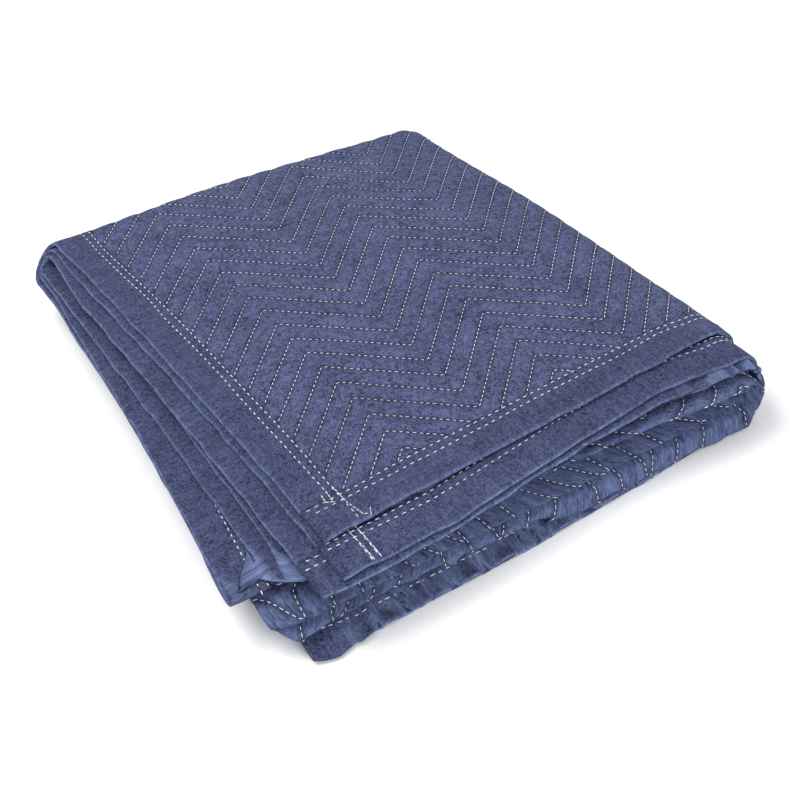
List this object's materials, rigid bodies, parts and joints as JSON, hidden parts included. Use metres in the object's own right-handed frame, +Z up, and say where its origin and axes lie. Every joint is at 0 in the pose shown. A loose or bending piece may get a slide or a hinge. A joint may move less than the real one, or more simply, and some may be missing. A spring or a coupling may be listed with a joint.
{
  "type": "moving blanket",
  "caption": "Quilted moving blanket with a stitched cloth binding on every edge, folded in quarters both ways into a flat, many-layered stack.",
  "frame": {"origin": "centre of the folded blanket's footprint, on the surface it lies on", "axes": "+Z up through the layers; +Y along the stack's long sides, from the free hems at the front to the folds at the back; +X from the side with the free side hems to the rounded fold"},
  "size_m": [0.5136, 0.5668, 0.0743],
  "materials": {
    "quilted_cloth": "matte, fuzzy non-woven cloth quilted with a zigzag of pale thread",
    "binding_tape": "matte non-woven tape with a faint sheen at its folds",
    "stitch_thread": "white polyester sewing thread"
  },
  "bodies": {
    "root": {"quilted_panel": "quilted_cloth", "left_side_binding": "binding_tape", "right_side_binding": "binding_tape", "near_end_binding": "binding_tape", "far_end_binding": "binding_tape"}
  },
  "joints": []
}
